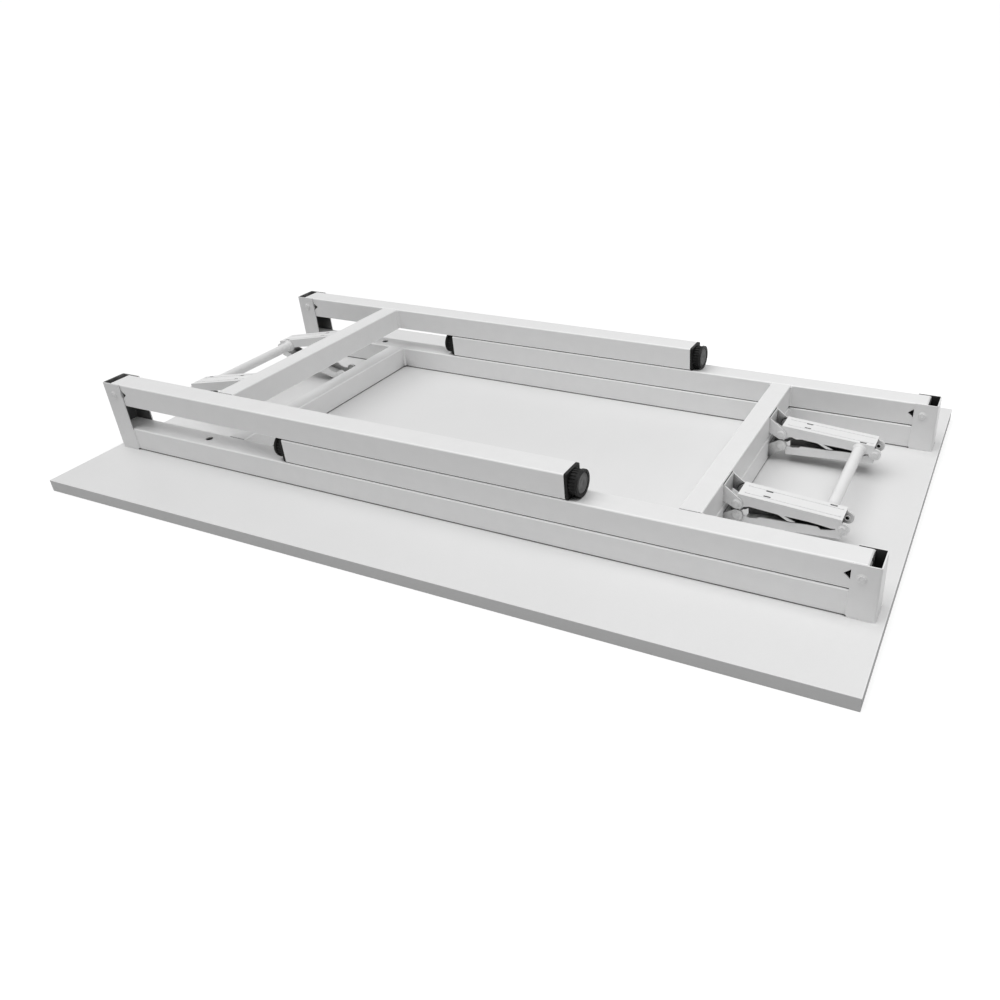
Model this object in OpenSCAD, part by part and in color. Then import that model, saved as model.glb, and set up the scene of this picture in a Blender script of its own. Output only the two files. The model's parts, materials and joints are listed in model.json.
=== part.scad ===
/* [Desktop] */
// Length of the desktop
top_length = 1000; // [860:10:1400]
// Depth of the desktop
top_depth = 600; // [480:10:800]
// Thickness of the desktop with its laminate
top_thickness = 15; // [12:0.5:30]
// Thickness of the plastic band glued round the edge
edge_band_thickness = 1; // [0.4:0.1:2]
// Height of the working surface above the floor when the desk stands open
desk_height = 754; // [700:1:800]

/* [Tubes] */
// Height of the rail and leg tubes
tube_height = 30; // [24:1:32]
// Width of the rail tubes
tube_width = 30; // [24:1:36]
// Wall of all the steel tubes
tube_wall = 1.5; // [1:0.1:2.5]
// Outer radius of the tube edges
tube_round = 2; // [1:0.1:3]
// Width of the four cross tubes
cross_width = 25; // [20:1:30]
// Gap between the stacked rail, right leg and left leg
layer_gap = 0.8; // [0.6:0.1:3]
// Side play of a leg between the cheeks of its bracket
leg_play = 0.25; // [0.2:0.05:0.6]
// Inset of the tube stacks from the long edges of the desktop
stack_inset = 104; // [60:1:160]
// Distance of the left cross tubes from the left edge
left_cross_inset = 175.5; // [165:0.5:220]
// Distance of the right cross tubes from the right edge
right_cross_inset = 189.5; // [180:0.5:230]
// Height of a triangular hole in the side of a leg
leg_hole_height = 11; // [6:0.5:14]
// Length of that hole along the leg
leg_hole_length = 7; // [4:0.5:10]

/* [Brackets] */
// Distance of the brackets from the short edges of the desktop
bracket_inset = 8.3; // [4:0.1:20]
// Sheet thickness of the brackets
bracket_sheet = 1.5; // [1:0.1:2.5]
// Outer bend radius of the brackets
bracket_bend = 2.5; // [2.5:0.1:4]
// Width of the cheeks of the tall left brackets
left_cheek = 29; // [26:0.5:40]
// Width of the cheeks of the low right brackets
right_cheek = 27.5; // [26:0.5:40]
// Gap between a standing leg and the end wall that stops it
stop_gap = 0.5; // [0.4:0.1:1]
// Length of leg tube behind its pivot
leg_stub = 5; // [4.5:0.1:6]
// Radius of the pivot rivets
pivot_radius = 4; // [3:0.1:5]
// Radius of the heads of the pivot rivets
pivot_head_radius = 5.5; // [5.5:0.1:7]
// Height of those heads
pivot_head_height = 2; // [1.2:0.1:3]
// Leg of a weld bead
weld_size = 2.5; // [1.5:0.1:4]

/* [Braces] */
// Half the distance between the near and the far arms of a brace
brace_offset = 86; // [70:1:100]
// Shift of both braces towards the far edge of the desktop
brace_shift = 1.5; // [-4:0.5:4]
// Width over the flanges of an upper arm
arm_width = 28; // [24:0.5:30]
// Sheet thickness of the arms and their brackets
arm_sheet = 1.5; // [1.2:0.1:2]
// Gap between the nested sheets of a brace
arm_gap = 0.3; // [0.2:0.05:0.4]
// Distance of the upper web from the line through the arm's rivets
upper_web_offset = 10.8; // [9.5:0.1:10.9]
// Distance of the lower web from the line through the arm's rivets
lower_web_offset = 12.2; // [12:0.1:14]
// Radius of the rounded arm ends at the brackets
arm_end_radius = 7; // [6:0.1:7.1]
// Radius of the rounded arm ends at the knee
knee_end_radius = 7; // [6:0.1:7]
// Radius of the brace rivets
brace_rivet_radius = 3; // [2:0.1:3.5]
// Radius of the heads of the brace rivets
brace_head_radius = 4.9; // [4.5:0.1:6]
// Height of those heads
brace_head_height = 1.8; // [1.2:0.1:2.5]
// Reach of the left upper ears from the cross tube of their leg frame
left_upper_reach = 21.3; // [18:0.1:24]
// Reach of the left lower ears from their cross rail
left_lower_reach = 22.7; // [18:0.1:24]
// Height of the left upper rivet above the underside of its cross tube
left_ear_rise = 4.1; // [3:0.1:8]
// Depth of the left lower rivet below the top of its cross tube
left_ear_drop = 14.9; // [12:0.1:16.5]
// Reach of the right ear brackets from the cross tubes
right_ear_reach = 14.7; // [12:0.1:20]
// Height of the right upper rivet above the underside of its cross tube
right_ear_rise = 7.2; // [7:0.1:11]
// Depth of the right lower rivet below the top of its cross tube
right_ear_drop = 7.5; // [6.5:0.1:9]
// Radius of the grip rods
rod_radius = 6.5; // [5:0.1:8]
// Distance of a grip rod from the knee
rod_reach = 18.5; // [14:0.5:24]
// Distance of a grip rod from the line through the arm's rivets
rod_rise = 2.5; // [0:0.1:4]

/* [Feet] */
// Distance from the end of a leg tube to the sole of its foot
foot_length = 14.5; // [14.5:0.5:24]
// Thickness of the head of a foot cap
cap_head = 3.5; // [2.5:0.1:3.6]
// Depth of a foot cap inside its tube
cap_depth = 18; // [14:0.5:30]
// Step from the side of a leg tube in to the rim of its levelling disc
disc_inset = 0.1; // [0:0.1:4]
// Thickness of a levelling disc with its ridged collar
disc_thickness = 10.7; // [8:0.1:10.8]
// Thickness of the smooth rim at the sole
rim_thickness = 3; // [2:0.1:4]
// Number of grip grooves round the collar
disc_grooves = 24; // [12:1:24]
// Radius of the threaded studs
stud_radius = 4; // [3:0.1:5]
// Length of stud inside the foot cap and its tube
stud_length = 34; // [28:1:50]

/* [Screws] */
// Distance of the outer screws from the ends of the desktop
screw_inset = 156; // [120:1:172]
// Radius of the access holes in the rails
access_radius = 4.6; // [4.6:0.1:7]
// Radius of the screw shanks
screw_radius = 2; // [1.5:0.1:2.5]
// Radius of the screw heads
screw_head_radius = 4; // [3:0.1:4.5]
// Depth of a screw in the desktop
screw_depth = 10; // [6:0.5:11]

/* [Hidden] */
$fn = 48;

overrun = 1;
running_fit = 0.05;
fixed_fit = 0.02;
screw_head_height = 2.2;
screw_row_shares = [-0.5, 0, 0.5];

rail_z = top_thickness;
rail_top = rail_z + tube_height;
right_leg_z = rail_top + layer_gap;
left_leg_z = right_leg_z + tube_height + layer_gap;
stack_top = left_leg_z + tube_height;
edge_x = top_length / 2;
edge_y = top_depth / 2;
near_y = stack_inset - edge_y;
far_y = edge_y - stack_inset - tube_width;
leg_width = tube_width - 2 * leg_play;
bar_y = near_y + tube_width - leg_play;
bar_length = far_y + leg_play - bar_y;
leg_half = tube_height / 2;
bracket_inner_bend = bracket_bend - bracket_sheet;
wall_to_pivot = leg_half + stop_gap;

// The stub's end is chamfered so that its corners swing clear of the end wall
stub_clearance = 0.2;
stub_flat = sqrt(pow(wall_to_pivot - stub_clearance, 2) - pow(leg_half, 2));
stub_chamfer = leg_stub - stub_flat;

left_pivot_x = bracket_inset + bracket_sheet + wall_to_pivot - edge_x;
right_pivot_x = -left_pivot_x;
left_pivot_z = left_leg_z + leg_half;
right_pivot_z = right_leg_z + leg_half;
left_foot_x = left_pivot_x + desk_height - left_pivot_z - foot_length;
right_foot_x = right_pivot_x - desk_height + right_pivot_z + foot_length;
left_bar_x = left_cross_inset - edge_x;
right_bar_x = edge_x - right_cross_inset - cross_width;

// Rivet axes of a brace as [x, z]: at the leg frame, then at the fixed cross rail
left_upper_axis = [left_bar_x - left_upper_reach, left_leg_z + left_ear_rise];
left_lower_axis = [left_bar_x - left_lower_reach, rail_top - left_ear_drop];
right_upper_axis = [right_bar_x + cross_width + right_ear_reach, right_leg_z + right_ear_rise];
right_lower_axis = [right_bar_x + cross_width + right_ear_reach, rail_top - right_ear_drop];

// Place of the upper rivet once the leg frame stands upright
left_upper_open = [
    left_pivot_x + left_pivot_z - left_upper_axis[1],
    left_pivot_z + left_upper_axis[0] - left_pivot_x
];
right_upper_open = [
    right_pivot_x - right_pivot_z + right_upper_axis[1],
    right_pivot_z + right_pivot_x - right_upper_axis[0]
];

// Both arms of a brace are half as long as the brace is when it locks straight
left_arm = norm(left_upper_open - left_lower_axis) / 2;
right_arm = norm(right_upper_open - right_lower_axis) / 2;
function knee(upper, lower, arm, side) =
    let (way = lower - upper)
    let (stretch = side * sqrt(pow(arm, 2) - pow(norm(way) / 2, 2)) / norm(way))
    (upper + lower) / 2 + stretch * [-way[1], way[0]];
left_knee = knee(left_upper_axis, left_lower_axis, left_arm, -1);
right_knee = knee(right_upper_axis, right_lower_axis, right_arm, 1);

// Half widths in a brace, from the lower arm out to the upper ears
upper_half = arm_width / 2;
lower_half = upper_half - arm_sheet - arm_gap;
lower_ear_half = lower_half + arm_gap;
upper_ear_half = upper_half + arm_gap;
near_brace_y = brace_shift - brace_offset;
far_brace_y = brace_shift + brace_offset;

// Flange outline of an upper arm: shares of the arm length and of the web offset
upper_edge_shares = [
    [0.9, -0.18], [0.77, -0.1], [0.67, -0.08], [0.46, -0.15], [0.57, -0.56], [0.5, -0.62],
    [0.4, -0.17], [0.26, -0.15], [0.12, -0.13], [0.07, -0.32], [0.03, -0.82]
];
// Flange outline of a lower arm: shares of the arm length and of the web offset
lower_edge_shares = [
    [0.89, 0.28], [0.8, 0.37], [0.77, 0.12], [0.67, 0.08], [0.49, 0.09],
    [0.37, 0.07], [0.22, 0.03], [0.2, 0.17], [0.12, 0.24], [0.05, 0]
];
lower_web_start_share = 0.05;
web_end_share = 0.985;
slot_place_share = 0.26;
slot_side_share = 0.2;
slot_length = 7.5;
slot_width = 2.6;
rod_slot_place_share = 0.86;
rod_slot_side_share = 0.385;

// Ear plates: lowest and highest share of the cross tube that the bracket covers
upper_ear_shares = [0.26, 0.88];
left_lower_ear_shares = [0.1, 0.62];
right_lower_ear_shares = [0.14, 0.72];
ear_end_radius = arm_end_radius - arm_gap;

// Stretch of a foot outside its tube, from the tube end to the sole
disc_start = foot_length - disc_thickness;
disc_radius = leg_half - disc_inset;
sole_recess = 1;
sole_rim = 3.5;
collar_step = 0.8;
groove_radius = 1.15;
groove_stop = 0.5;
nut_width = 13;
nut_height = 6.5;
nut_across = nut_width / cos(30);
cap_fit = 0.2;

function tangent(point, centre, radius, side) =
    let (away = point - centre)
    let (angle = atan2(away[1], away[0]) + side * acos(radius / norm(away)))
    centre + radius * [cos(angle), sin(angle)];

module round_rect(size, radius) {
    translate([radius, 0]) square([size[0] - 2 * radius, size[1]]);
    translate([0, radius]) square([size[0], size[1] - 2 * radius]);
    for (x = [radius, size[0] - radius], y = [radius, size[1] - radius])
        translate([x, y]) circle(radius);
}

module tube_profile(width, height) {
    difference() {
        round_rect([width, height], tube_round);
        translate([tube_wall, tube_wall])
            round_rect([width - 2 * tube_wall, height - 2 * tube_wall], tube_round - tube_wall / 2);
    }
}

module along_x(length) {
    rotate([90, 0, 90]) linear_extrude(length) children();
}

module along_y(length) {
    translate([0, length, 0]) rotate([90, 0, 0]) linear_extrude(length) children();
}

// A prism drawn in the x-z plane, centred on y = 0
module plate(width) {
    rotate([90, 0, 0]) linear_extrude(width, center = true) children();
}

module pin(radius, length) {
    rotate([90, 0, 0]) cylinder(r = radius, h = length, center = true);
}

// A domed head that grows from y = 0 towards +y
module dome(radius, height) {
    ball = (radius * radius + height * height) / (2 * height);
    rotate([-90, 0, 0]) intersection() {
        translate([0, 0, height - ball]) sphere(ball);
        cylinder(r = radius, h = height);
    }
}

module desktop_board() {
    color("gainsboro") difference() {
        translate([edge_band_thickness - edge_x, edge_band_thickness - edge_y, 0])
            cube([
                top_length - 2 * edge_band_thickness,
                top_depth - 2 * edge_band_thickness,
                top_thickness
            ]);
        for (y = [near_y, far_y])
            screw_places(y + tube_width / 2, top_thickness - screw_depth)
                cylinder(r = screw_radius + fixed_fit, h = screw_depth + overrun);
    }
}

module edge_bands() {
    color("silver") {
        for (y = [-edge_y, edge_y - edge_band_thickness])
            translate([-edge_x, y, 0]) cube([top_length, edge_band_thickness, top_thickness]);
        for (x = [-edge_x, edge_x - edge_band_thickness])
            translate([x, edge_band_thickness - edge_y, 0])
                cube([edge_band_thickness, top_depth - 2 * edge_band_thickness, top_thickness]);
    }
}

module screw_places(y, z) {
    for (s = screw_row_shares)
        translate([s * (top_length - 2 * screw_inset), y, z]) children();
}

module rail(y) {
    half = edge_x - bracket_inset - bracket_bend;
    color("whitesmoke") difference() {
        translate([-half, y, rail_z]) along_x(2 * half) tube_profile(tube_width, tube_height);
        screw_places(y + tube_width / 2, rail_top - 2 * tube_wall)
            cylinder(r = access_radius, h = 2 * tube_wall + overrun);
        screw_places(y + tube_width / 2, rail_z - overrun)
            cylinder(r = screw_radius + fixed_fit, h = tube_wall + 2 * overrun);
    }
}

module near_rail() {
    rail(near_y);
}

module far_rail() {
    rail(far_y);
}

module cross_rail(x) {
    color("whitesmoke") translate([x, near_y + tube_width, rail_z])
        along_y(far_y - near_y - tube_width) tube_profile(cross_width, tube_height);
}

module left_cross_rail() {
    cross_rail(left_bar_x);
}

module right_cross_rail() {
    cross_rail(right_bar_x);
}

// A folded sheet bracket with its end wall at x = 0 and its cheeks towards +x
module bracket(cheek, height, pivot_z) {
    outer = tube_width + 2 * bracket_sheet;
    color("whitesmoke") difference() {
        linear_extrude(height) intersection() {
            difference() {
                translate([0, -bracket_sheet]) round_rect([2 * cheek, outer], bracket_bend);
                translate([bracket_sheet, 0])
                    round_rect([2 * cheek - 2 * bracket_sheet, tube_width], bracket_inner_bend);
            }
            translate([0, -bracket_sheet]) square([cheek, outer]);
        }
        translate([bracket_sheet + wall_to_pivot, tube_width / 2, pivot_z])
            pin(pivot_radius + fixed_fit, outer + 2 * overrun);
    }
}

module left_bracket(y) {
    translate([bracket_inset - edge_x, y, rail_z])
        bracket(left_cheek, stack_top - rail_z, left_pivot_z - rail_z);
}

module right_bracket(y) {
    translate([edge_x - bracket_inset, y, rail_z]) mirror([1, 0, 0])
        bracket(right_cheek, right_leg_z + tube_height - rail_z, right_pivot_z - rail_z);
}

module left_near_bracket() {
    left_bracket(near_y);
}

module left_far_bracket() {
    left_bracket(far_y);
}

module right_near_bracket() {
    right_bracket(near_y);
}

module right_far_bracket() {
    right_bracket(far_y);
}

module pivot_rivet(x, y, z) {
    half = tube_width / 2 + bracket_sheet;
    color("white") translate([x, y + tube_width / 2, z]) {
        pin(pivot_radius, 2 * half);
        for (side = [0, 1]) mirror([0, side, 0])
            translate([0, half, 0]) dome(pivot_head_radius, pivot_head_height);
    }
}

module left_pivot_rivets() {
    for (y = [near_y, far_y]) pivot_rivet(left_pivot_x, y, left_pivot_z);
}

module right_pivot_rivets() {
    for (y = [near_y, far_y]) pivot_rivet(right_pivot_x, y, right_pivot_z);
}

module rail_screws() {
    color("silver") for (y = [near_y, far_y])
        screw_places(y + tube_width / 2, rail_z - screw_depth) {
            cylinder(r = screw_radius, h = screw_depth + tube_wall);
            translate([0, 0, screw_depth + tube_wall])
                cylinder(r1 = screw_head_radius, r2 = screw_radius, h = screw_head_height);
        }
}

// A quarter-round weld bead up the corner at the origin, into +x and +y
module weld(height) {
    intersection() {
        cylinder(r = weld_size, h = height);
        cube([weld_size, weld_size, height]);
    }
}

// The four beads at the ends of a cross tube that starts at [x, y] and is length long
module cross_welds(x, y, z, length) {
    height = tube_height - 2 * tube_round;
    color("white") for (end = [0, 1], face = [0, 1])
        translate([x + face * cross_width, y + end * length, z + tube_round])
            mirror([1 - face, 0, 0]) mirror([0, end, 0]) weld(height);
}

// Short beads where the cheeks of the brackets end on the rails
module cheek_welds(x, side) {
    bead = bracket_sheet;
    for (y = [near_y, far_y], face = [0, 1])
        translate([x, y + face * tube_width, rail_z + tube_round])
            mirror([side, 0, 0]) mirror([0, 1 - face, 0]) intersection() {
                cylinder(r = bead, h = tube_height - 2 * tube_round);
                cube([bead, bead, tube_height]);
            }
}

module rail_welds() {
    span = far_y - near_y - tube_width;
    cross_welds(left_bar_x, near_y + tube_width, rail_z, span);
    cross_welds(right_bar_x, near_y + tube_width, rail_z, span);
    color("white") cheek_welds(bracket_inset + left_cheek - edge_x, 0);
    color("white") cheek_welds(edge_x - bracket_inset - right_cheek, 1);
}

// Side view of an ear plate from the cross tube face to its rivet
module ear_outline(face_x, low, high, axis) {
    side = face_x < axis[0] ? 1 : -1;
    difference() {
        union() {
            polygon([
                [face_x, low],
                [face_x, high],
                tangent([face_x, high], axis, ear_end_radius, -side),
                axis,
                tangent([face_x, low], axis, ear_end_radius, side)
            ]);
            translate(axis) circle(ear_end_radius);
        }
        translate(axis) circle(brace_rivet_radius + fixed_fit);
    }
}

// A U bracket: two ear plates and the base that sits on the cross tube
module ear_bracket(y, inner_half, face_x, low, high, axis) {
    outer_half = inner_half + arm_sheet;
    side = face_x < axis[0] ? 1 : -1;
    base_x = side > 0 ? face_x : face_x - arm_sheet;
    color("whitesmoke") translate([0, y, 0]) {
        for (flank = [-1, 1])
            translate([0, flank * (inner_half + arm_sheet / 2), 0])
                plate(arm_sheet) ear_outline(face_x, low, high, axis);
        translate([base_x, -outer_half, low]) cube([arm_sheet, 2 * outer_half, high - low]);
    }
}

module lower_ears(face_x, shares, axis) {
    for (y = [near_brace_y, far_brace_y])
        ear_bracket(y, lower_ear_half, face_x, rail_z + shares[0] * tube_height,
            rail_z + shares[1] * tube_height, axis);
}

module upper_ears(face_x, leg_z, axis) {
    for (y = [near_brace_y, far_brace_y])
        ear_bracket(y, upper_ear_half, face_x, leg_z + upper_ear_shares[0] * tube_height,
            leg_z + upper_ear_shares[1] * tube_height, axis);
}

module left_lower_ears() {
    lower_ears(left_bar_x, left_lower_ear_shares, left_lower_axis);
}

module right_lower_ears() {
    lower_ears(right_bar_x + cross_width, right_lower_ear_shares, right_lower_axis);
}

module left_upper_ears() {
    upper_ears(left_bar_x, left_leg_z, left_upper_axis);
}

module right_upper_ears() {
    upper_ears(right_bar_x + cross_width, right_leg_z, right_upper_axis);
}

// Four rivets of one brace axis, from an inner to an outer half width, heads outside
module brace_rivets(axis, inner_half, outer_half) {
    color("white") for (y = [near_brace_y, far_brace_y], flank = [0, 1])
        translate([axis[0], y, axis[1]]) mirror([0, flank, 0]) {
            translate([0, (inner_half + outer_half) / 2, 0])
                pin(brace_rivet_radius, outer_half - inner_half);
            translate([0, outer_half, 0]) dome(brace_head_radius, brace_head_height);
        }
}

module left_lower_rivets() {
    brace_rivets(left_lower_axis, lower_half - arm_sheet, lower_ear_half + arm_sheet);
}

module right_lower_rivets() {
    brace_rivets(right_lower_axis, lower_half - arm_sheet, lower_ear_half + arm_sheet);
}

module left_upper_rivets() {
    brace_rivets(left_upper_axis, upper_ear_half, upper_ear_half + arm_sheet);
}

module right_upper_rivets() {
    brace_rivets(right_upper_axis, upper_ear_half, upper_ear_half + arm_sheet);
}

module left_knee_rivets() {
    brace_rivets(left_knee, lower_half - arm_sheet, upper_half + running_fit);
}

module right_knee_rivets() {
    brace_rivets(right_knee, lower_half - arm_sheet, upper_half + running_fit);
}

// Lays an arm drawn along +x, with its web on the +z side, between two rivet axes
module lay_arm(from, to, y, flip) {
    way = to - from;
    translate([from[0], y, from[1]]) rotate([0, -atan2(way[1], way[0]), 0])
        mirror([0, 0, flip]) children();
}

module upper_flange(arm) {
    difference() {
        union() {
            polygon(concat(
                [[0, 0], [0, upper_web_offset]],
                [[web_end_share * arm, upper_web_offset], [web_end_share * arm, 0]],
                [for (p = upper_edge_shares) [p[0] * arm, p[1] * upper_web_offset]]
            ));
            circle(arm_end_radius);
            translate([arm, 0]) circle(knee_end_radius);
        }
        circle(brace_rivet_radius + running_fit);
        translate([arm, 0]) circle(brace_rivet_radius + running_fit);
    }
}

module upper_arm(arm, rod_side) {
    web_z = upper_web_offset - arm_sheet;
    slot = [slot_length, slot_width, arm_sheet + 2 * overrun];
    slot_x = slot_place_share * arm;
    slot_y = slot_side_share * arm_width;
    rod_slot = [rod_slot_place_share * arm, rod_side * rod_slot_side_share * arm_width];
    difference() {
        union() {
            for (flank = [-1, 1])
                translate([0, flank * (upper_half - arm_sheet / 2), 0])
                    plate(arm_sheet) upper_flange(arm);
            translate([0, -upper_half, web_z]) cube([web_end_share * arm, arm_width, arm_sheet]);
        }
        for (place = [[slot_x, slot_y], [slot_x, -slot_y], rod_slot])
            translate([place[0] - slot_length / 2, place[1] - slot_width / 2, web_z - overrun])
                cube(slot);
    }
}

module lower_flange(arm) {
    difference() {
        union() {
            polygon(concat(
                [[lower_web_start_share * arm, lower_web_offset]],
                [[web_end_share * arm, lower_web_offset], [web_end_share * arm, 0]],
                [for (p = lower_edge_shares) [p[0] * arm, p[1] * lower_web_offset]]
            ));
            circle(arm_end_radius);
            translate([arm, 0]) circle(knee_end_radius);
        }
        circle(brace_rivet_radius + running_fit);
        translate([arm, 0]) circle(brace_rivet_radius + fixed_fit);
    }
}

module lower_arm(arm) {
    start = lower_web_start_share * arm;
    length = (web_end_share - lower_web_start_share) * arm;
    for (flank = [-1, 1])
        translate([0, flank * (lower_half - arm_sheet / 2), 0])
            plate(arm_sheet) lower_flange(arm);
    translate([start, -lower_half, lower_web_offset - arm_sheet])
        cube([length, 2 * lower_half, arm_sheet]);
}

module left_upper_arm(y, rod_side) {
    color("whitesmoke") lay_arm(left_upper_axis, left_knee, y, 1) upper_arm(left_arm, rod_side);
}

module right_upper_arm(y, rod_side) {
    color("whitesmoke") lay_arm(right_upper_axis, right_knee, y, 0) upper_arm(right_arm, rod_side);
}

module left_lower_arm(y) {
    color("whitesmoke") lay_arm(left_lower_axis, left_knee, y, 0) lower_arm(left_arm);
}

module right_lower_arm(y) {
    color("whitesmoke") lay_arm(right_lower_axis, right_knee, y, 1) lower_arm(right_arm);
}

module left_near_upper_arm() {
    left_upper_arm(near_brace_y, 1);
}

module left_far_upper_arm() {
    left_upper_arm(far_brace_y, -1);
}

module right_near_upper_arm() {
    right_upper_arm(near_brace_y, 1);
}

module right_far_upper_arm() {
    right_upper_arm(far_brace_y, -1);
}

module left_near_lower_arm() {
    left_lower_arm(near_brace_y);
}

module left_far_lower_arm() {
    left_lower_arm(far_brace_y);
}

module right_near_lower_arm() {
    right_lower_arm(near_brace_y);
}

module right_far_lower_arm() {
    right_lower_arm(far_brace_y);
}

module grip_rod(from, to, arm, flip) {
    length = far_brace_y - near_brace_y - arm_width;
    color("white") lay_arm(from, to, brace_shift, flip)
        translate([arm - rod_reach, 0, rod_rise]) pin(rod_radius, length);
}

module left_grip_rod() {
    grip_rod(left_upper_axis, left_knee, left_arm, 1);
}

module right_grip_rod() {
    grip_rod(right_upper_axis, right_knee, right_arm, 0);
}

// A leg along +x from its pivot at the origin, with the foot end at x = length
module leg(length, cheek_reach) {
    color("whitesmoke") difference() {
        translate([-leg_stub, -leg_width / 2, -leg_half])
            along_x(length + leg_stub) tube_profile(leg_width, tube_height);
        pin(pivot_radius + running_fit, leg_width + 2 * overrun);
        plate(leg_width + 2 * overrun) polygon([
            [cheek_reach, leg_hole_height / 2 + tube_wall],
            [cheek_reach + leg_hole_length, tube_wall],
            [cheek_reach, tube_wall - leg_hole_height / 2]
        ]);
        for (side = [0, 1]) mirror([0, 0, side])
            plate(leg_width + 2 * overrun) polygon([
                [-leg_stub - overrun, leg_half + overrun],
                [-leg_stub + stub_chamfer + overrun, leg_half + overrun],
                [-leg_stub - overrun, leg_half - stub_chamfer - overrun]
            ]);
    }
}

module left_leg(y) {
    translate([left_pivot_x, y + tube_width / 2, left_pivot_z])
        leg(left_foot_x - left_pivot_x, left_cheek - bracket_sheet - wall_to_pivot);
}

module right_leg(y) {
    translate([right_pivot_x, y + tube_width / 2, right_pivot_z]) mirror([1, 0, 0])
        leg(right_pivot_x - right_foot_x, right_cheek - bracket_sheet - wall_to_pivot);
}

module left_near_leg() {
    left_leg(near_y);
}

module left_far_leg() {
    left_leg(far_y);
}

module right_near_leg() {
    right_leg(near_y);
}

module right_far_leg() {
    right_leg(far_y);
}

module leg_cross_bar(x, z) {
    color("whitesmoke") translate([x, bar_y, z]) along_y(bar_length) tube_profile(cross_width, tube_height);
}

module left_leg_cross_bar() {
    leg_cross_bar(left_bar_x, left_leg_z);
}

module right_leg_cross_bar() {
    leg_cross_bar(right_bar_x, right_leg_z);
}

module left_frame_welds() {
    cross_welds(left_bar_x, bar_y, left_leg_z, bar_length);
}

module right_frame_welds() {
    cross_welds(right_bar_x, bar_y, right_leg_z, bar_length);
}

// A foot cap with its head against the tube end at x = 0 and its plug towards -x
module foot_cap() {
    inner = [leg_width - 2 * tube_wall - 2 * cap_fit, tube_height - 2 * tube_wall - 2 * cap_fit];
    color("black") difference() {
        union() {
            translate([0, -leg_width / 2, -leg_half]) along_x(cap_head)
                round_rect([leg_width, tube_height], tube_round);
            translate([-cap_depth, -inner[0] / 2, -inner[1] / 2]) along_x(cap_depth)
                round_rect(inner, tube_round);
        }
        translate([-cap_depth - overrun, 0, 0]) rotate([0, 90, 0])
            cylinder(r = stud_radius + running_fit, h = cap_depth + cap_head + 2 * overrun);
        translate([-cap_depth - overrun, 0, 0]) rotate([0, 90, 0])
            cylinder(d = nut_across + fixed_fit, h = nut_height + overrun, $fn = 6);
    }
}

module foot_nut() {
    color("silver") translate([-cap_depth, 0, 0]) rotate([0, 90, 0]) difference() {
        cylinder(d = nut_across, h = nut_height, $fn = 6);
        translate([0, 0, -overrun]) cylinder(r = stud_radius + running_fit, h = nut_height + 2 * overrun);
    }
}

// A levelling disc with its sole at x = foot_length and its ridged collar behind
module disc() {
    collar = disc_thickness - rim_thickness;
    collar_radius = disc_radius - collar_step;
    color("black") difference() {
        translate([disc_start, 0, 0]) rotate([0, 90, 0]) union() {
            cylinder(r = collar_radius, h = collar);
            translate([0, 0, collar]) cylinder(r = disc_radius, h = rim_thickness);
        }
        translate([foot_length - sole_recess, 0, 0]) rotate([0, 90, 0])
            cylinder(r = disc_radius - sole_rim, h = sole_recess + overrun);
        translate([disc_start - overrun, 0, 0]) rotate([0, 90, 0])
            cylinder(r = stud_radius + fixed_fit, h = disc_thickness / 2 + overrun);
        for (i = [0 : disc_grooves - 1])
            rotate([(i + 1 / 2) * 360 / disc_grooves, 0, 0])
                translate([disc_start - overrun, collar_radius, 0])
                    rotate([0, 90, 0]) cylinder(r = groove_radius, h = overrun + collar - groove_stop);
    }
}

module stud() {
    color("silver") translate([-stud_length, 0, 0]) rotate([0, 90, 0])
        cylinder(r = stud_radius, h = stud_length + disc_start + disc_thickness / 2);
}

module at_left_foot(y) {
    translate([left_foot_x, y + tube_width / 2, left_pivot_z]) children();
}

module at_right_foot(y) {
    translate([right_foot_x, y + tube_width / 2, right_pivot_z]) mirror([1, 0, 0]) children();
}

module left_near_foot_cap() {
    at_left_foot(near_y) foot_cap();
}

module left_far_foot_cap() {
    at_left_foot(far_y) foot_cap();
}

module right_near_foot_cap() {
    at_right_foot(near_y) foot_cap();
}

module right_far_foot_cap() {
    at_right_foot(far_y) foot_cap();
}

module left_foot_nuts() {
    for (y = [near_y, far_y]) at_left_foot(y) foot_nut();
}

module right_foot_nuts() {
    for (y = [near_y, far_y]) at_right_foot(y) foot_nut();
}

module left_near_stud() {
    at_left_foot(near_y) stud();
}

module left_far_stud() {
    at_left_foot(far_y) stud();
}

module right_near_stud() {
    at_right_foot(near_y) stud();
}

module right_far_stud() {
    at_right_foot(far_y) stud();
}

module left_near_disc() {
    at_left_foot(near_y) disc();
}

module left_far_disc() {
    at_left_foot(far_y) disc();
}

module right_near_disc() {
    at_right_foot(near_y) disc();
}

module right_far_disc() {
    at_right_foot(far_y) disc();
}

desktop_board();
edge_bands();
near_rail();
far_rail();
left_cross_rail();
right_cross_rail();
left_near_bracket();
left_far_bracket();
right_near_bracket();
right_far_bracket();
left_pivot_rivets();
right_pivot_rivets();
rail_screws();
rail_welds();
left_lower_ears();
right_lower_ears();
left_lower_rivets();
right_lower_rivets();
left_near_leg();
left_far_leg();
left_leg_cross_bar();
left_upper_ears();
left_upper_rivets();
left_frame_welds();
left_near_foot_cap();
left_far_foot_cap();
left_foot_nuts();
right_near_leg();
right_far_leg();
right_leg_cross_bar();
right_upper_ears();
right_upper_rivets();
right_frame_welds();
right_near_foot_cap();
right_far_foot_cap();
right_foot_nuts();
left_near_lower_arm();
left_far_lower_arm();
left_knee_rivets();
left_near_upper_arm();
left_far_upper_arm();
left_grip_rod();
right_near_lower_arm();
right_far_lower_arm();
right_knee_rivets();
right_near_upper_arm();
right_far_upper_arm();
right_grip_rod();
left_near_stud();
left_far_stud();
right_near_stud();
right_far_stud();
left_near_disc();
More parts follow.
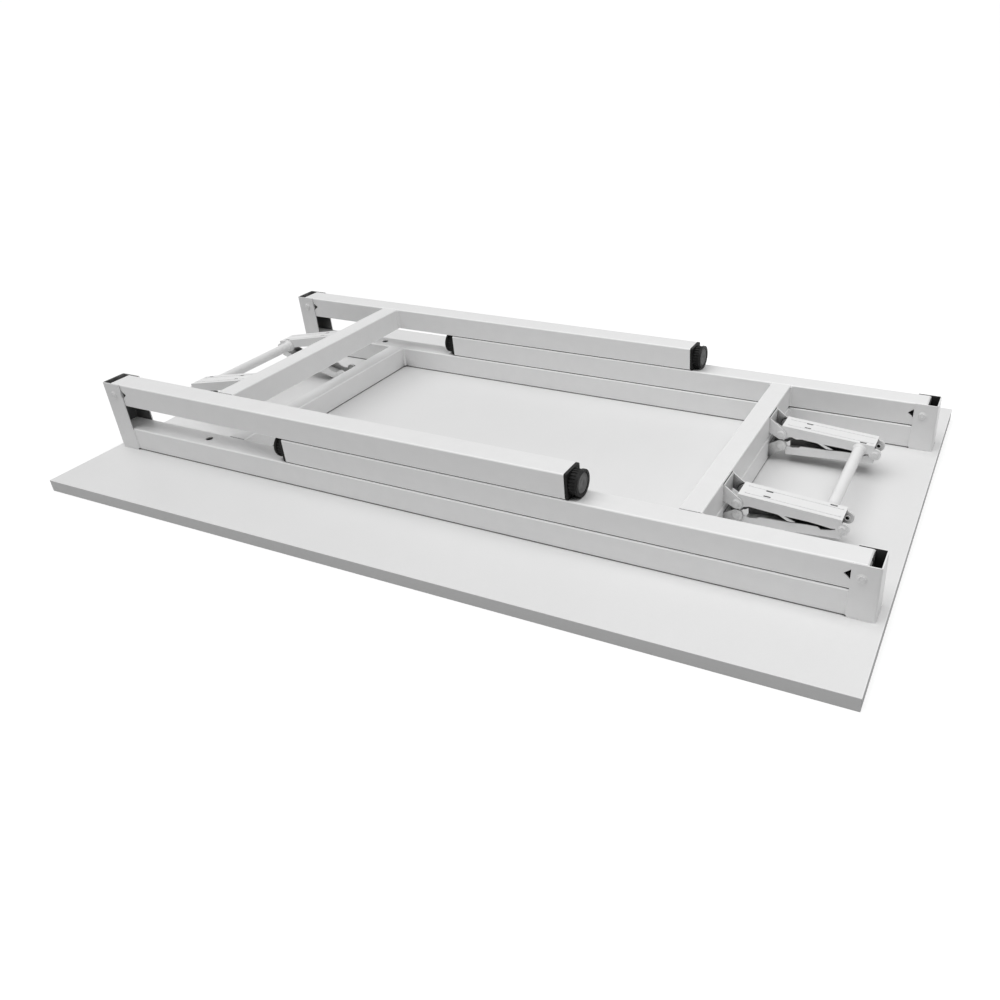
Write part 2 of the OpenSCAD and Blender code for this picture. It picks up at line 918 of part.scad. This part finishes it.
left_far_disc();
right_near_disc();
right_far_disc();
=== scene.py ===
import json
import math
from collections import namedtuple

import bmesh
import bpy
from mathutils import Matrix, Vector

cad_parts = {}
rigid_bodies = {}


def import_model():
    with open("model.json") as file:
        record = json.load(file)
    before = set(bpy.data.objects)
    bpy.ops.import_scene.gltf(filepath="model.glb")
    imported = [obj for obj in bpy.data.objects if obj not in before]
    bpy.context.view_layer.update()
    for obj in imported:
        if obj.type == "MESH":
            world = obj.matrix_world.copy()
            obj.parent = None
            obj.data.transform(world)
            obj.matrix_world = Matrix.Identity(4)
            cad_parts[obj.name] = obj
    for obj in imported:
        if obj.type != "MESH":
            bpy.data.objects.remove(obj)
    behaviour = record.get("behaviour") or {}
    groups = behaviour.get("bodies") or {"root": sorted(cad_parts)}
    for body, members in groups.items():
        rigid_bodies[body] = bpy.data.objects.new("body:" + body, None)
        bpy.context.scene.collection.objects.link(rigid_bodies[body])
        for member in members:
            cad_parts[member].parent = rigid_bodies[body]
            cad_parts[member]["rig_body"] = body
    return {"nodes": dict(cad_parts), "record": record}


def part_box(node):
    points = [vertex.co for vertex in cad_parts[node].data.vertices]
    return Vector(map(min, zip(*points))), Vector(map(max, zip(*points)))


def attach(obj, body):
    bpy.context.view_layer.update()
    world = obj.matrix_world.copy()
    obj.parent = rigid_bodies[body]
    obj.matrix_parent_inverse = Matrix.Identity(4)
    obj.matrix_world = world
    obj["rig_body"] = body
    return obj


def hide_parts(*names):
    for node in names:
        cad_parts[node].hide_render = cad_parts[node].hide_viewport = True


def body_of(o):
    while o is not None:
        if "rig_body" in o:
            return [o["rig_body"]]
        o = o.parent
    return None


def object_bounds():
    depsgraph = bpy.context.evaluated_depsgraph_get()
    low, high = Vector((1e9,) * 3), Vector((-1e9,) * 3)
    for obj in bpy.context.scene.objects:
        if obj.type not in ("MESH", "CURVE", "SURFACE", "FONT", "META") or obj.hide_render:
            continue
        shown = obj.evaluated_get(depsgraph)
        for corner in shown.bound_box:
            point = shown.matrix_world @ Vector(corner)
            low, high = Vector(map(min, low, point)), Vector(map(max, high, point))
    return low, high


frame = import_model()
cad_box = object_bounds()
nodes = frame["nodes"]
scene = bpy.context.scene

MM = 0.001
SIDES = ("left", "right")
ENDS = ("near", "far")

# Camera fitted to the photograph: degrees, metres, lens in mm, shift as a share of the width
CAMERA_AZIMUTH, CAMERA_ELEVATION, CAMERA_ROLL = 25.722, 30.155, 2.130
CAMERA_PLACE = (0.56014, -0.88171, 0.54493)
CAMERA_SENSOR, CAMERA_LENS = 36, 32.290
CAMERA_SHIFT = (-0.11443, -0.01176)
CAMERA_REACH = (0.01, 50)

# Lamps: places in metres, watts per square metre for the sun, watts for the area lamp
KEY_PLACE, KEY_POWER, KEY_ANGLE = (-1.0, -0.45, 3.0), 1.33, math.radians(55)
FILL_PLACE, FILL_TARGET = (0.95, -0.2, 1.6), (0.40, 0, 0)
FILL_POWER, FILL_SIZE = 7.0, 0.9

# Strength of the world as a light, and as the camera and mirrors see it
WORLD_LIGHT, WORLD_SEEN = 0.32, 1.0
# The floor: half its width and its height in metres, tones, and glow for the camera and mirrors
FLOOR_HALF = 60.0
FLOOR_HEIGHT = -0.0002
FLOOR_DARK, FLOOR_PALE = 0.50, 0.51
FLOOR_GLOW = 0.66
WHITE = (1, 1, 1, 1)

# Most values of a noise texture lie between the low and the high one
NOISE_LOW, NOISE_HIGH = 0.3, 0.7
NOISE_ROUGHNESS = 0.55
# Sockets of the Mix node when it mixes colours
MIX_FACTOR, MIX_FIRST, MIX_SECOND, MIX_RESULT = 0, 6, 7, 2

# Shade painted into the colour in gaps and inside folded sheet: reach in metres, tone of the
# painted shade, and how free a place is, from 0 to 1, when it counts as shut and as open
SHADE_SAMPLES = 8
Shade = namedtuple("Shade", "reach dark shut open")
TUBE_SHADE = Shade(0.03, 0.03, 0.14, 0.46)
SHEET_SHADE = Shade(0.035, 0.015, 0.28, 0.58)
RIVET_SHADE = Shade(0.004, 0.10, 0.30, 0.72)
BOARD_SHADE = Shade(0.004, 0.03, 0.30, 0.56)
ZINC_SHADE = Shade(0.03, 0.02, 0.1, 0.5)

# Brackets of each side: tone of the coat, tone of the dark shade painted inside, and shade. Each
# side's tones are set to the light and shade that fall on that side, so the two are lit and shaded
# copies of one coat. The painted shade inside begins just under the sheet's thickness, and an open
# side goes on beyond the object.
Bracket = namedtuple("Bracket", "coat steel shade")
BRACKETS = {
    "left": Bracket(0.81, 0.24, Shade(0.035, 0.07, 0.15, 0.5)),
    "right": Bracket(0.84, 0.10, Shade(0.035, 0.015, 0.15, 0.5)),
}
BRACKET_SKIN = 0.0014
OUTSIDE = 1.0

# Tones of the edge band, of the shade painted on its right face and of the highlight painted along
# its upper edge, and the depths in metres of that face and that edge
BAND_DARK, BAND_PALE = 0.585, 0.605
BAND_RIGHT_SHADE, BAND_TOP_HIGHLIGHT = 0.24, 0.88
BAND_RIGHT_DEPTH, BAND_TOP_DEPTH = 0.0002, 0.0007

# A rounded edge is where no axis has this much of the normal
EDGE_NORMAL = 0.975
# Tone of the highlight painted along rounded edges
EDGE_HIGHLIGHT_TONE = 0.97

# Sizes of the part's source in metres: thickness of the sheet, distance from the line through an
# arm's rivets to the outside of its web, radii of the rivet heads, and pitch of the feet
SHEET = 0.0015
WEB_OFFSET = 0.0108
PIVOT_HEAD, BRACE_HEAD = 0.0055, 0.0049
THREAD_PITCH = 0.00125
# Distance from the middle of an arm to the faces under its rivet heads
HEAD_HEIGHT = {"upper": 0.0158, "lower": 0.0140}

# Welds of the grip rods: length in metres, and thickness in rod radii
SOCKET_OUTER = ((0.0001, 1.30), (0.0012, 1.27), (0.0026, 1.15), (0.0046, 1.05), (0.0060, 1.01))
SOCKET_INNER = ((0.0060, 0.97), (0.0001, 0.97))
SOCKET_WOBBLE = 0.03

# Turned profiles: distance along the axis and radius, in mm
TAIL_RING = ((0.0, 3.5), (0.5, 3.6), (0.9, 3.2), (1.0, 2.6), (0.8, 2.1), (0.0, 1.9))
# Dark disc painted as the shade in the hollow of a rivet tail
TAIL_PIT_SHADE = ((0.05, 2.0), (0.32, 1.9), (0.24, 1.0), (0.20, 0.02), (0.05, 0.02))
SOLE_RINGS = (
    (1.0, 11.2), (0.62, 11.1), (0.50, 10.7), (0.50, 8.2), (0.72, 7.8), (0.72, 7.4),
    (0.50, 7.0), (0.50, 2.4), (0.8, 2.0), (0.8, 0.05), (1.0, 0.05),
)
# Rim of a rivet head, in head radii
HEAD_RIM = ((0.16, 0.75), (0.29, 0.70), (0.335, 0.62), (0.33, 0.53), (0.26, 0.46), (0.1, 0.5))
RING_STEPS, SOLE_STEPS, THREAD_STEPS = 28, 40, 24

# Ribs of an arm: section in mm, places across the web in metres, share of the height at shares
# of the way to the knee, and lift off the web in metres
RIB_SECTION = ((-0.9, 0.0), (-0.45, 0.30), (0.45, 0.30), (0.9, 0.0))
RIB_PLACES = (-0.0075, 0.0075)
RIB_RUN = ((0.05, 0.1), (0.08, 1.0), (0.93, 1.0), (0.96, 0.1))
RIB_LIFT = 0.00002

# Dark strip painted as the shadow in the gap at the base of an ear: section in mm, how far it runs
# past the arm in metres, and its size share there
GAP_SHADE_SECTION = ((0.02, 0.0), (0.30, 0.05), (0.34, 0.5), (0.02, 1.3))
GAP_SHADE_NEAR, GAP_SHADE_FAR, GAP_SHADE_END = 0.0022, 0.0012, 0.3

# Thread of a stud in stud radii: crest, root, and the core where the thread has ended. Points
# nearer than the join, in metres, become one.
CREST, ROOT, CORE = 0.998, 0.86, 0.2
THREAD_JOIN = 1e-5


def make_camera():
    azimuth, elevation = math.radians(CAMERA_AZIMUTH), math.radians(CAMERA_ELEVATION)
    roll = math.radians(CAMERA_ROLL)
    flat = math.cos(elevation)
    forward = Vector((-math.sin(azimuth) * flat, math.cos(azimuth) * flat, -math.sin(elevation)))
    level = forward.cross(Vector((0, 0, 1))).normalized()
    plumb = forward.cross(level)
    right = math.cos(roll) * level + math.sin(roll) * plumb
    down = -math.sin(roll) * level + math.cos(roll) * plumb
    data = bpy.data.cameras.new("camera")
    data.sensor_fit = "HORIZONTAL"
    data.sensor_width = CAMERA_SENSOR
    data.lens = CAMERA_LENS
    data.shift_x, data.shift_y = CAMERA_SHIFT
    data.clip_start, data.clip_end = CAMERA_REACH
    camera = bpy.data.objects.new("camera", data)
    turn = Matrix((right, -down, -forward)).transposed().to_4x4()
    camera.matrix_world = Matrix.Translation(CAMERA_PLACE) @ turn
    scene.collection.objects.link(camera)
    scene.camera = camera


class Graph:
    """A node tree with short calls for its nodes. A value is a number, a colour or a socket."""

    def __init__(self, tree):
        self.tree = tree

    def feed(self, target, value):
        """Links a socket to the target, or sets the target's own value."""
        if isinstance(value, bpy.types.NodeSocket):
            self.tree.links.new(value, target)
        else:
            target.default_value = value

    def node(self, kind, **values):
        """Adds a node. A socket's name is written with _ for a space."""
        made = self.tree.nodes.new(kind)
        for key, value in values.items():
            self.feed(made.inputs[key.replace("_", " ")], value)
        return made

    def math(self, operation, *values):
        made = self.node("ShaderNodeMath")
        made.operation = operation
        for target, value in zip(made.inputs, values):
            self.feed(target, value)
        return made.outputs[0]

    def span(self, value, low, high, start=NOISE_LOW, stop=NOISE_HIGH):
        """Maps the value, from start to stop, to low to high."""
        made = self.node("ShaderNodeMapRange", Value=value, From_Min=start, From_Max=stop,
                         To_Min=low, To_Max=high)
        return made.outputs["Result"]

    def seen(self):
        """1 for the rays of the camera and of mirrors, else 0."""
        path = self.node("ShaderNodeLightPath").outputs
        return self.math("MAXIMUM", path["Is Camera Ray"], path["Is Glossy Ray"])


class Mat(Graph):
    """A material with calls for its patterns."""

    def __init__(self, name):
        self.material = bpy.data.materials.new(name)
        self.material.use_nodes = True
        super().__init__(self.material.node_tree)
        self.shader = self.tree.nodes["Principled BSDF"]
        place = self.node("ShaderNodeTexCoord").outputs
        self.coord, self.normal = place["Object"], place["Normal"]

    def noise(self, scale, detail=3.0, coord=None):
        made = self.node("ShaderNodeTexNoise", Scale=scale, Detail=detail,
                         Roughness=NOISE_ROUGHNESS, Vector=coord or self.coord)
        return made.outputs["Fac"]

    def stretched(self, scale):
        return self.node("ShaderNodeMapping", Scale=scale, Vector=self.coord).outputs["Vector"]

    def axes(self, vector):
        return list(self.node("ShaderNodeSeparateXYZ", Vector=vector).outputs)

    def ramp(self, factor, *stops):
        made = self.node("ShaderNodeValToRGB", Fac=factor)
        elements = made.color_ramp.elements
        while len(elements) < len(stops):
            elements.new(0.5)
        for element, (position, colour) in zip(elements, stops):
            element.position = position
            element.color = colour
        return made.outputs["Color"]

    def clouds(self, factor, dark, pale):
        """A colour that drifts between two tones, or two colours, with a noise."""
        return self.ramp(factor, (NOISE_LOW, dark), (NOISE_HIGH, pale))

    def mix(self, factor, first, second):
        made = self.node("ShaderNodeMix")
        made.data_type = "RGBA"
        for index, value in ((MIX_FACTOR, factor), (MIX_FIRST, first), (MIX_SECOND, second)):
            self.feed(made.inputs[index], value)
        return made.outputs[MIX_RESULT]

    def bump(self, height, strength, distance, normal=None):
        made = self.node("ShaderNodeBump", Height=height, Strength=strength, Distance=distance)
        if normal:
            self.feed(made.inputs["Normal"], normal)
        return made.outputs["Normal"]

    def within(self, value, low, high):
        """1 where the value lies between low and high, else 0."""
        above = self.math("GREATER_THAN", value, low)
        return self.math("MULTIPLY", above, self.math("LESS_THAN", value, high))

    def rounded_edges(self):
        """1 on the rounded edges of a tube whose faces lie along the axes, else 0."""
        x, y, z = [self.math("ABSOLUTE", axis) for axis in self.axes(self.normal)]
        most = self.math("MAXIMUM", self.math("MAXIMUM", x, y), z)
        return self.math("LESS_THAN", most, EDGE_NORMAL)

    def paint_cavity_shade(self, colour, shade):
        """The colour with shade painted in: dark in narrow gaps and inside folded sheet."""
        made = self.node("ShaderNodeAmbientOcclusion", Distance=shade.reach)
        made.samples = SHADE_SAMPLES
        light = self.span(made.outputs["AO"], 0, 1, shade.shut, shade.open)
        return self.mix(light, grey(shade.dark), colour)

    def out(self, **values):
        """Sets the shader's sockets and gives the material."""
        for key, value in values.items():
            self.feed(self.shader.inputs[key.replace("_", " ")], value)
        return self.material


def grey(tone):
    return (tone, tone, tone, 1)


def powder_coat(name, tone=0.85, shade=TUBE_SHADE, edge_highlight=False, inside=None, steel=0.0):
    """White powder coat, with painted shade in its gaps and all over the footprint inside."""
    mat = Mat(name)
    colour = mat.clouds(mat.noise(60), grey(tone * 0.985), grey(tone * 1.01))
    # Where asked, a highlight is painted along the rounded edges
    if edge_highlight:
        colour = mat.mix(mat.rounded_edges(), colour, grey(EDGE_HIGHLIGHT_TONE))
    # Within the footprint, a dark tone broken up by a noise paints the shade inside a bracket
    if inside:
        x, y = mat.axes(mat.coord)[:2]
        (x_low, y_low), (x_high, y_high) = inside
        mask = mat.math("MULTIPLY", mat.within(x, x_low, x_high), mat.within(y, y_low, y_high))
        stops = ((0.35, grey(steel * 0.4)), (0.6, grey(steel)), (0.75, grey(steel * 2)))
        colour = mat.mix(mask, colour, mat.ramp(mat.noise(55), *stops))
    orange_peel = mat.bump(mat.noise(240, 1), 0.06, 0.0004)
    return mat.out(
        Base_Color=mat.paint_cavity_shade(colour, shade),
        Roughness=mat.span(mat.noise(9, 2), 0.34, 0.42),
        Normal=mat.bump(mat.noise(1400, 2), 0.10, 0.00012, orange_peel))


def laminate():
    mat = Mat("white_laminate")
    colour = mat.clouds(mat.noise(5), grey(0.80), grey(0.82))
    specks = mat.span(mat.noise(900, 1), 0, 0.12, 0.45, 0.75)
    colour = mat.mix(specks, colour, grey(0.74))
    return mat.out(
        Base_Color=mat.paint_cavity_shade(colour, BOARD_SHADE),
        Roughness=mat.span(mat.noise(30), 0.46, 0.54),
        Normal=mat.bump(mat.noise(700, 2), 0.12, 0.0001))


def edge_plastic():
    """The edge band, with shade painted on its right short face and a highlight along its upper
    edge.
    """
    mat = Mat("edge_band_plastic")
    grain = mat.noise(1, coord=mat.stretched((120, 120, 900)))
    colour = mat.clouds(grain, grey(BAND_DARK), grey(BAND_PALE))
    x, _, z = mat.axes(mat.coord)
    shaded_right_face = mat.math("GREATER_THAN", x, cad_box[1][0] - BAND_RIGHT_DEPTH)
    colour = mat.mix(shaded_right_face, colour, grey(BAND_RIGHT_SHADE))
    board_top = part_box("edge_bands")[1].z
    highlit_upper_edge = mat.math("GREATER_THAN", z, board_top - BAND_TOP_DEPTH)
    colour = mat.mix(highlit_upper_edge, colour, grey(BAND_TOP_HIGHLIGHT))
    return mat.out(
        Base_Color=colour,
        Roughness=mat.span(mat.noise(50, 2), 0.40, 0.48),
        Normal=mat.bump(mat.noise(900, 2), 0.10, 0.0001))


def black_plastic(name, tone, smooth, rough, gloss=0.12):
    mat = Mat(name)
    return mat.out(
        Base_Color=mat.clouds(mat.noise(200), grey(tone * 0.85), grey(tone * 1.2)),
        Roughness=mat.span(mat.noise(80), smooth, rough),
        Normal=mat.bump(mat.noise(1600, 2), 0.25, 0.00015),
        Specular_IOR_Level=gloss)


def zinc():
    mat = Mat("zinc_plated_steel")
    colour = mat.clouds(mat.noise(300, 4), (0.56, 0.56, 0.55, 1), (0.68, 0.68, 0.66, 1))
    return mat.out(
        Base_Color=mat.paint_cavity_shade(colour, ZINC_SHADE),
        Roughness=mat.span(mat.noise(120), 0.28, 0.42),
        Metallic=1.0,
        Normal=mat.bump(mat.noise(900, 2), 0.1, 0.0001))


def weld_coat():
    mat = Mat("coated_weld")
    ripples = mat.node("ShaderNodeTexWave", Scale=110.0, Distortion=3.0, Detail=2.0,
                       Vector=mat.coord)
    ripples.bands_direction = "Z"
    grain = mat.bump(mat.noise(700), 0.4, 0.0003)
    return mat.out(
        Base_Color=mat.clouds(mat.noise(400), grey(0.80), grey(0.84)),
        Roughness=mat.span(mat.noise(90, 2), 0.38, 0.5, 0, 1),
        Normal=mat.bump(ripples.outputs["Fac"], 0.5, 0.0004, grain))


def dress(node, material):
    """Gives a CAD node its one material."""
    nodes[node].data.materials.clear()
    nodes[node].data.materials.append(material)


def dress_bracket(side, end):
    """The coat of a folded bracket, with shade painted dark on the faces that look inwards."""
    node = f"{side}_{end}_bracket"
    low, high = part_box(node)
    if side == "left":
        x_low, x_high = low.x + BRACKET_SKIN, OUTSIDE
    else:
        x_low, x_high = -OUTSIDE, high.x - BRACKET_SKIN
    inside = ((x_low, low.y + BRACKET_SKIN), (x_high, high.y - BRACKET_SKIN))
    look = BRACKETS[side]
    dress(node, powder_coat(node + "_coat", look.coat, look.shade, inside=inside, steel=look.steel))


def bridge(shape, first, second):
    """Faces between two closed rows of vertices."""
    for i in range(len(first)):
        j = (i + 1) % len(first)
        shape.faces.new((first[i], first[j], second[j], second[i]))


def loft(shape, sections):
    """A closed form through sections, each a list of corners."""
    rows = [[shape.verts.new(corner) for corner in section] for section in sections]
    for first, second in zip(rows, rows[1:]):
        bridge(shape, first, second)
    shape.faces.new(rows[0])
    shape.faces.new(rows[-1])


def turned(shape, origin, axis, profile, steps=RING_STEPS, wobble=0.0):
    """Adds a ring that turns the profile of (place, radius) pairs round an axis.

    The wobble is the share of the radius by which the ring is out of round.
    """
    rows = []
    for place, radius in profile:
        row = []
        for i in range(steps):
            angle = 2 * math.pi * i / steps
            out = radius * (1 + wobble * math.sin(5 * angle + 1) * math.sin(3 * angle))
            side, up = out * math.cos(angle), out * math.sin(angle)
            spot = (place, side, up) if axis == "x" else (side, place, up)
            row.append(shape.verts.new(Vector(origin) + Vector(spot)))
        rows.append(row)
    rows.append(rows[0])
    for first, second in zip(rows, rows[1:]):
        bridge(shape, first, second)


def from_mm(profile, way):
    """A turned profile in metres that grows towards the given way, 1 or -1."""
    return [(way * place * MM, radius * MM) for place, radius in profile]


def piece(name, shape, node, material):
    """A finished piece that moves with the body of a CAD node."""
    bmesh.ops.recalc_face_normals(shape, faces=shape.faces)
    mesh = bpy.data.meshes.new(name)
    shape.to_mesh(mesh)
    shape.free()
    for face in mesh.polygons:
        face.use_smooth = True
    mesh.materials.append(material)
    obj = bpy.data.objects.new(name, mesh)
    scene.collection.objects.link(obj)
    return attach(obj, body_of(nodes[node])[0])


def centre(node):
    low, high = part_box(node)
    return (low + high) / 2


def rod_sockets(side):
    """The flared welds that join a grip rod to its two arms."""
    node = side + "_grip_rod"
    low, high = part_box(node)
    middle = (low + high) / 2
    radius = (high.x - low.x) / 2
    shape = bmesh.new()
    for y, way in ((low.y, 1), (high.y, -1)):
        profile = [(way * place, radius * share) for place, share in SOCKET_OUTER + SOCKET_INNER]
        turned(shape, (middle.x, y, middle.z), "y", profile, wobble=SOCKET_WOBBLE)
    piece(node + "_welds", shape, node, MATS["painted_welds"])


def brace_tails(side):
    """Rolled tails of the tubular rivets inside the lower arms, each with a dark disc painted as
    the shade in its hollow.
    """
    for axis in ("lower", "knee"):
        node = f"{side}_{axis}_rivets"
        spot = centre(node)
        rings, pit_shades = bmesh.new(), bmesh.new()
        for end in ENDS:
            low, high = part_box(f"{side}_{end}_lower_arm")
            for y, way in ((low.y + SHEET, 1), (high.y - SHEET, -1)):
                at = (spot.x, y, spot.z)
                turned(rings, at, "y", from_mm(TAIL_RING, way))
                turned(pit_shades, at, "y", from_mm(TAIL_PIT_SHADE, way))
        piece(node + "_tails", rings, node, MATS["painted_rivets"])
        piece(node + "_hollows", pit_shades, node, PAINTED_SHADE_BLACK)


def head_rims(node, faces, radius):
    """The pressed rings on rivet heads, which stand on pairs of faces across the object."""
    spot = centre(node)
    shape = bmesh.new()
    for low_y, high_y in faces:
        for y, way in ((low_y, -1), (high_y, 1)):
            profile = [(way * place * radius, radius * share) for place, share in HEAD_RIM]
            turned(shape, (spot.x, y, spot.z), "y", profile)
    piece(node + "_rims", shape, node, MATS["painted_rivets"])


def rivet_rims(side):
    """The rims of the pivot, knee, upper and lower rivets of one side."""
    brackets = [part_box(f"{side}_{end}_bracket") for end in ENDS]
    head_rims(side + "_pivot_rivets", [(low.y, high.y) for low, high in brackets], PIVOT_HEAD)
    arms = [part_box(f"{side}_{end}_upper_arm") for end in ENDS]
    head_rims(side + "_knee_rivets", [(low.y, high.y) for low, high in arms], BRACE_HEAD)
    middles = [centre(f"{side}_{end}_upper_arm").y for end in ENDS]
    for axis, half in HEAD_HEIGHT.items():
        faces = [(middle - half, middle + half) for middle in middles]
        head_rims(f"{side}_{axis}_rivets", faces, BRACE_HEAD)


def web_ribs(side, end):
    """Two low pressed ribs along the web of an upper arm."""
    node = f"{side}_{end}_upper_arm"
    start, knee = centre(side + "_upper_rivets"), centre(side + "_knee_rivets")
    way = Vector((knee.x - start.x, 0, knee.z - start.z))
    length = way.length
    way.normalize()
    up = Vector((-way.z, 0, way.x))
    if up.z < 0:
        up = -up
    across = Vector((0, MM, 0))
    middle = centre(node).y
    shape = bmesh.new()
    for y in RIB_PLACES:
        sections = []
        for share, rise in RIB_RUN:
            base = start + way * (share * length) + up * WEB_OFFSET
            base.y = middle + y
            sections.append([base + across * offset + up * (height * rise * MM + RIB_LIFT)
                             for offset, height in RIB_SECTION])
        loft(shape, sections)
    piece(node + "_ribs", shape, node, MATS["painted_sheet"])


def ear_gap_shades(side):
    """Dark strips painted as the shadow in the gap where a cross tube's rounded edge leaves an ear.
    """
    node = side + "_upper_ears"
    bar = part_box(side + "_leg_cross_bar")
    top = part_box(node)[1].z
    x, way = (bar[0].x, -1) if side == "left" else (bar[1].x, 1)
    shape = bmesh.new()
    for end in ENDS:
        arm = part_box(f"{side}_{end}_upper_arm")
        run = ((arm[0].y - GAP_SHADE_NEAR, GAP_SHADE_END), (arm[0].y, 1),
               (arm[1].y, 1), (arm[1].y + GAP_SHADE_FAR, GAP_SHADE_END))
        loft(shape, [[(x + way * offset * share * MM, y, top + height * share * MM)
                      for offset, height in GAP_SHADE_SECTION] for y, share in run])
    piece(node + "_shade_strips", shape, node, PAINTED_SHADE_BLACK)


def threaded_stud(side, end):
    """The stud of a levelling foot with its thread cut as a helix."""
    node = f"{side}_{end}_stud"
    low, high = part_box(node)
    middle = (low + high) / 2
    radius = (high.z - low.z) / 2
    shape = bmesh.new()
    # Each row is one turn, half a pitch after the row before it, on the crest or in the root
    rows = []
    for k in range(-3, int((high.x - low.x) / THREAD_PITCH * 2) + 3):
        row = []
        for i in range(THREAD_STEPS):
            x = low.x + THREAD_PITCH * (k / 2 + i / THREAD_STEPS)
            out = radius * (CREST if k % 2 else ROOT)
            if not low.x < x < high.x:
                x, out = min(max(x, low.x), high.x), radius * CORE
            angle = 2 * math.pi * i / THREAD_STEPS
            y, z = middle.y + out * math.cos(angle), middle.z + out * math.sin(angle)
            row.append(shape.verts.new((x, y, z)))
        rows.append(row)
    for k in range(len(rows) - 3):
        first, second = rows[k], rows[k + 1]
        for i in range(THREAD_STEPS - 1):
            shape.faces.new((first[i], first[i + 1], second[i + 1], second[i]))
        shape.faces.new((first[-1], rows[k + 2][0], rows[k + 3][0], second[-1]))
    bmesh.ops.remove_doubles(shape, verts=shape.verts, dist=THREAD_JOIN)
    bmesh.ops.holes_fill(shape, edges=shape.edges)
    stud = piece(node + "_thread", shape, node, MATS["zinc_steel"])
    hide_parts(node)


def sole_pad(side, end):
    """The paler pad in the recess of a levelling disc."""
    node = f"{side}_{end}_disc"
    low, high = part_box(node)
    middle = (low + high) / 2
    x, way = (high.x, -1) if side == "left" else (low.x, 1)
    shape = bmesh.new()
    turned(shape, (x, middle.y, middle.z), "x", from_mm(SOLE_RINGS, way), steps=SOLE_STEPS)
    piece(node + "_pad", shape, node, SOLE)


def make_floor():
    """A pale floor that takes the object's shadow and glows for the camera and mirrors only."""
    mesh = bpy.data.meshes.new("floor")
    shape = bmesh.new()
    half = FLOOR_HALF
    corners = ((-half, -half), (half, -half), (half, half), (-half, half))
    shape.faces.new([shape.verts.new((x, y, FLOOR_HEIGHT)) for x, y in corners])
    shape.to_mesh(mesh)
    shape.free()
    floor = bpy.data.objects.new("floor", mesh)
    scene.collection.objects.link(floor)
    mat = Mat("floor_paper")
    mesh.materials.append(mat.out(
        Base_Color=mat.clouds(mat.noise(3, 2), grey(FLOOR_DARK), grey(FLOOR_PALE)),
        Roughness=0.95,
        Specular_IOR_Level=0.0,
        Emission_Color=WHITE,
        Emission_Strength=mat.math("MULTIPLY", mat.seen(), FLOOR_GLOW)))


def lamp(name, kind, where, target, power, **shape):
    data = bpy.data.lights.new(name, kind)
    data.energy = power
    for key, value in shape.items():
        setattr(data, key, value)
    obj = bpy.data.objects.new(name, data)
    obj.location = where
    obj.rotation_euler = (Vector(target) - Vector(where)).to_track_quat("-Z", "Y").to_euler()
    scene.collection.objects.link(obj)


def make_world():
    """A white world that the camera sees at full strength and that lights the object less."""
    world = bpy.data.worlds.new("studio")
    scene.world = world
    world.use_nodes = True
    graph = Graph(world.node_tree)
    back = world.node_tree.nodes["Background"].inputs
    graph.feed(back["Color"], WHITE)
    graph.feed(back["Strength"], graph.span(graph.seen(), WORLD_LIGHT, WORLD_SEEN, 0, 1))


MATS = {
    "laminate": laminate(),
    "edge_band": edge_plastic(),
    "painted_tube": powder_coat("powder_coat", edge_highlight=True),
    "painted_sheet": powder_coat("powder_coat_sheet", 0.86, SHEET_SHADE),
    "painted_rod": powder_coat("powder_coat_rod", 0.86),
    "painted_rivets": powder_coat("powder_coat_rivet", 0.80, RIVET_SHADE),
    "painted_welds": weld_coat(),
    "cap_plastic": black_plastic("black_cap_plastic", 0.014, 0.42, 0.55),
    "foot_plastic": black_plastic("black_foot_plastic", 0.014, 0.40, 0.5),
    "zinc_steel": zinc(),
}
SOLE = black_plastic("worn_sole_plastic", 0.15, 0.5, 0.6)
# Black that paints the shade in rivet hollows and in the gaps at the ears
PAINTED_SHADE_BLACK = black_plastic("rivet_hollow_shade", 0.02, 0.6, 0.7, 0.0)

make_camera()
for part in frame["record"]["subparts"]:
    dress(part["node"], MATS[part["material_slot"]])
for side in SIDES:
    for end in ENDS:
        dress_bracket(side, end)

for side in SIDES:
    rod_sockets(side)
    brace_tails(side)
    rivet_rims(side)
    ear_gap_shades(side)
    for end in ENDS:
        web_ribs(side, end)
        sole_pad(side, end)
        threaded_stud(side, end)

make_floor()
make_world()
lamp("key", "SUN", KEY_PLACE, (0, 0, 0), KEY_POWER, angle=KEY_ANGLE)
lamp("right_fill", "AREA", FILL_PLACE, FILL_TARGET, FILL_POWER, size=FILL_SIZE)
scene.view_settings.view_transform = "Standard"
